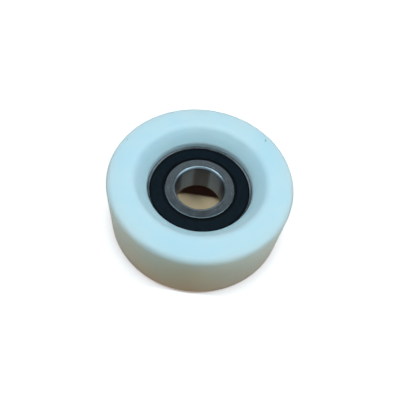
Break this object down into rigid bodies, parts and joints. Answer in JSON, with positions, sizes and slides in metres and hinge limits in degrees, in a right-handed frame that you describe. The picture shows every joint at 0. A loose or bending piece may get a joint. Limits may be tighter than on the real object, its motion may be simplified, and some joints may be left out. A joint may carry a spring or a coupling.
{
  "type": "escalator roller",
  "caption": "White nylon escalator roller with a plain tread and dished side faces, held on a rubber-sealed ball bearing with a plain axle bore.",
  "frame": {"origin": "centre of the axle bore, midway between the two side faces", "axes": "+Z along the roller's axis, out of the upper side face, with the roller lying on its lower side face; +X passes through the centre of ball_1"},
  "size_m": [0.075, 0.075, 0.03],
  "materials": {
    "nylon": "satin",
    "bearing_steel": "satin",
    "seal_rubber": "matte",
    "ball_steel": "polished",
    "cage_steel": "satin"
  },
  "bodies": {
    "hub": {"bearing_inner_ring": "bearing_steel"},
    "roller": {"roller_body": "nylon", "bearing_outer_ring": "bearing_steel", "seal_upper": "seal_rubber", "seal_lower": "seal_rubber"},
    "cage": {"cage_half_upper": "cage_steel", "cage_half_lower": "cage_steel", "cage_rivets": "cage_steel"},
    "ball_1": {"ball_1": "ball_steel"},
    "ball_2": {"ball_2": "ball_steel"},
    "ball_3": {"ball_3": "ball_steel"},
    "ball_4": {"ball_4": "ball_steel"},
    "ball_5": {"ball_5": "ball_steel"},
    "ball_6": {"ball_6": "ball_steel"},
    "ball_7": {"ball_7": "ball_steel"},
    "ball_8": {"ball_8": "ball_steel"}
  },
  "joints": [
    {"name": "roller_spin", "type": "hinge", "parent": "hub", "child": "roller", "pos_m": [0, 0, 0], "axis": [0, 0, 1], "continuous": true},
    {"name": "cage_orbit", "type": "hinge", "parent": "hub", "child": "cage", "pos_m": [0, 0, 0], "axis": [0, 0, 1], "continuous": true},
    {"name": "ball_1_spin", "type": "hinge", "parent": "cage", "child": "ball_1", "pos_m": [0.01675, 0, 0], "axis": [0, 0, 1], "continuous": true},
    {"name": "ball_2_spin", "type": "hinge", "parent": "cage", "child": "ball_2", "pos_m": [0.01184, 0.01184, 0], "axis": [0, 0, 1], "continuous": true},
    {"name": "ball_3_spin", "type": "hinge", "parent": "cage", "child": "ball_3", "pos_m": [0, 0.01675, 0], "axis": [0, 0, 1], "continuous": true},
    {"name": "ball_4_spin", "type": "hinge", "parent": "cage", "child": "ball_4", "pos_m": [-0.01184, 0.01184, 0], "axis": [0, 0, 1], "continuous": true},
    {"name": "ball_5_spin", "type": "hinge", "parent": "cage", "child": "ball_5", "pos_m": [-0.01675, 0, 0], "axis": [0, 0, 1], "continuous": true},
    {"name": "ball_6_spin", "type": "hinge", "parent": "cage", "child": "ball_6", "pos_m": [-0.01184, -0.01184, 0], "axis": [0, 0, 1], "continuous": true},
    {"name": "ball_7_spin", "type": "hinge", "parent": "cage", "child": "ball_7", "pos_m": [0, -0.01675, 0], "axis": [0, 0, 1], "continuous": true},
    {"name": "ball_8_spin", "type": "hinge", "parent": "cage", "child": "ball_8", "pos_m": [0.01184, -0.01184, 0], "axis": [0, 0, 1], "continuous": true}
  ],
  "couplings": [
    {"joint": "cage_orbit", "follows": "roller_spin", "ratio": 0.61848},
    {"joint": "ball_1_spin", "follows": "roller_spin", "ratio": 1.9916},
    {"joint": "ball_2_spin", "follows": "roller_spin", "ratio": 1.9916},
    {"joint": "ball_3_spin", "follows": "roller_spin", "ratio": 1.9916},
    {"joint": "ball_4_spin", "follows": "roller_spin", "ratio": 1.9916},
    {"joint": "ball_5_spin", "follows": "roller_spin", "ratio": 1.9916},
    {"joint": "ball_6_spin", "follows": "roller_spin", "ratio": 1.9916},
    {"joint": "ball_7_spin", "follows": "roller_spin", "ratio": 1.9916},
    {"joint": "ball_8_spin", "follows": "roller_spin", "ratio": 1.9916}
  ]
}
